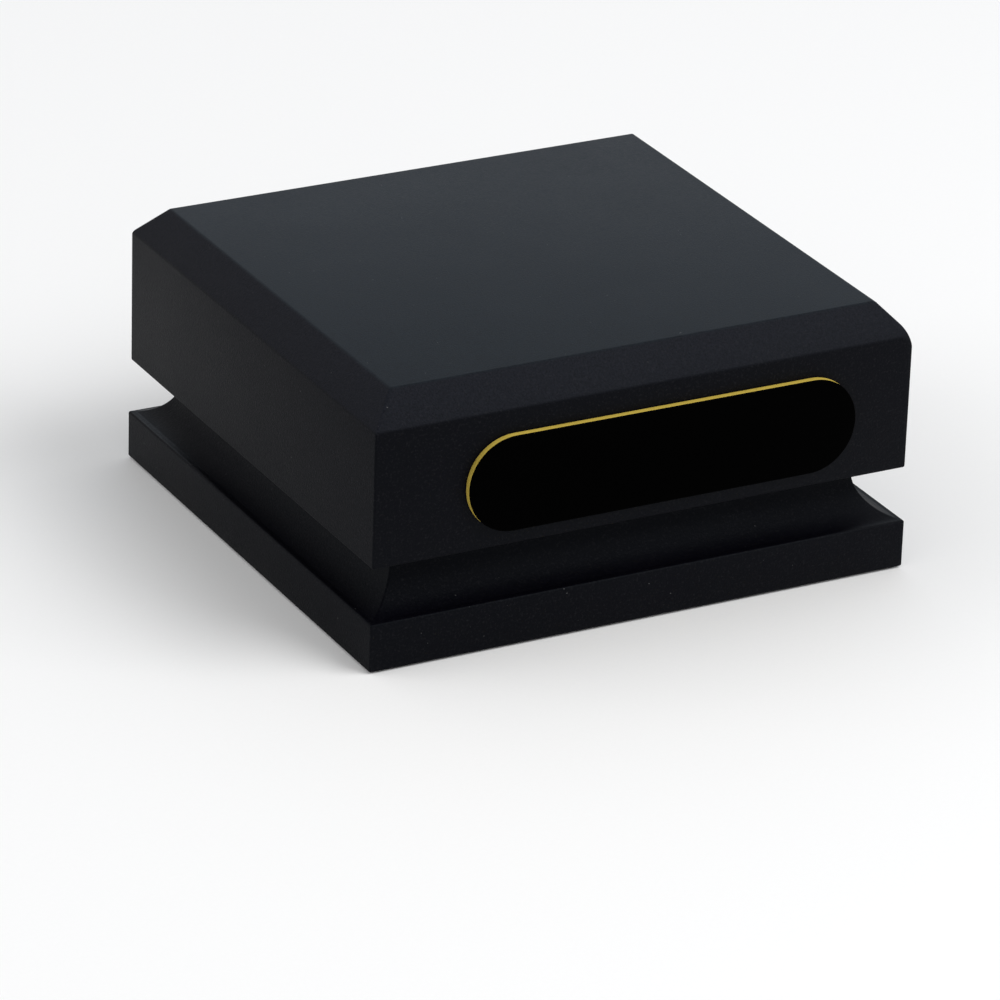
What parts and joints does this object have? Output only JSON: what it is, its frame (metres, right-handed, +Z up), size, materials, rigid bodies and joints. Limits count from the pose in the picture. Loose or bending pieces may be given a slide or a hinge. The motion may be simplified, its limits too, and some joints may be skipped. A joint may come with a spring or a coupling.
{
  "type": "self inking stamp",
  "caption": "Square self-inking desk stamp: chamfered block handle with a name plate, spring-loaded over a coved base, printing through a window.",
  "frame": {"origin": "centre of the base's footprint, on the surface that the rubber foot stands on", "axes": "+Z up out of the top face, -Y out of the front face with the name plate, +X to the right seen from the front"},
  "size_m": [0.0804, 0.0764, 0.0382],
  "materials": {
    "painted_wood": "satin black paint over fine-grained wood",
    "plate": "gloss black lacquer on brass, bare brass edge",
    "tape": "white foam tape",
    "black_abs": "fine moulded texture",
    "zinc_steel": "yellow zinc plated",
    "soft_rubber": "matt",
    "felt": "dense felt soaked with ink",
    "die_foam": "fine open-celled foam",
    "bright_steel": "drawn wire and ground rod",
    "dark_steel": "black oxide",
    "acetal": "natural white",
    "brass": "turned and knurled"
  },
  "bodies": {
    "base": {"base_block": "painted_wood", "window_liner": "black_abs", "foot_ring": "soft_rubber", "guide_post_front_left": "bright_steel", "guide_post_front_right": "bright_steel", "guide_post_back_left": "bright_steel", "guide_post_back_right": "bright_steel", "post_clip_front_left": "dark_steel", "post_clip_front_right": "dark_steel", "post_clip_back_left": "dark_steel", "post_clip_back_right": "dark_steel", "return_spring_front_left": "bright_steel", "return_spring_front_right": "bright_steel", "return_spring_back_left": "bright_steel", "return_spring_back_right": "bright_steel", "depth_insert_left": "brass", "depth_insert_right": "brass"},
    "handle": {"handle_block": "painted_wood", "name_plate": "plate", "plate_tape": "tape", "carrier": "black_abs", "carrier_screws": "zinc_steel", "guide_bush_front_left": "acetal", "guide_bush_front_right": "acetal", "guide_bush_back_left": "acetal", "guide_bush_back_right": "acetal"},
    "cartridge": {"ink_tray": "black_abs", "refill_plugs": "soft_rubber", "ink_felt": "felt", "flash_die": "die_foam", "die_frame": "black_abs"},
    "depth_screw_left": {"depth_screw_left": "dark_steel"},
    "depth_screw_right": {"depth_screw_right": "dark_steel"}
  },
  "joints": [
    {"name": "press", "type": "slide", "parent": "base", "child": "handle", "axis": [0, 0, -1], "range_m": [0, 0.005], "stiffness_N_per_m": 1600, "springref_m": -0.004, "deforming": ["return_spring_front_left", "return_spring_front_right", "return_spring_back_left", "return_spring_back_right"]},
    {"name": "cartridge_release", "type": "slide", "parent": "handle", "child": "cartridge", "axis": [0, 0, -1], "range_m": [0, 0.027]},
    {"name": "depth_adjust_left", "type": "hinge", "parent": "base", "child": "depth_screw_left", "pos_m": [-0.0314, 0, 0.01], "axis": [0, 0, 1], "range_deg": [-180, 180]},
    {"name": "depth_adjust_right", "type": "hinge", "parent": "base", "child": "depth_screw_right", "pos_m": [0.0314, 0, 0.01], "axis": [0, 0, 1], "range_deg": [-180, 180]}
  ]
}
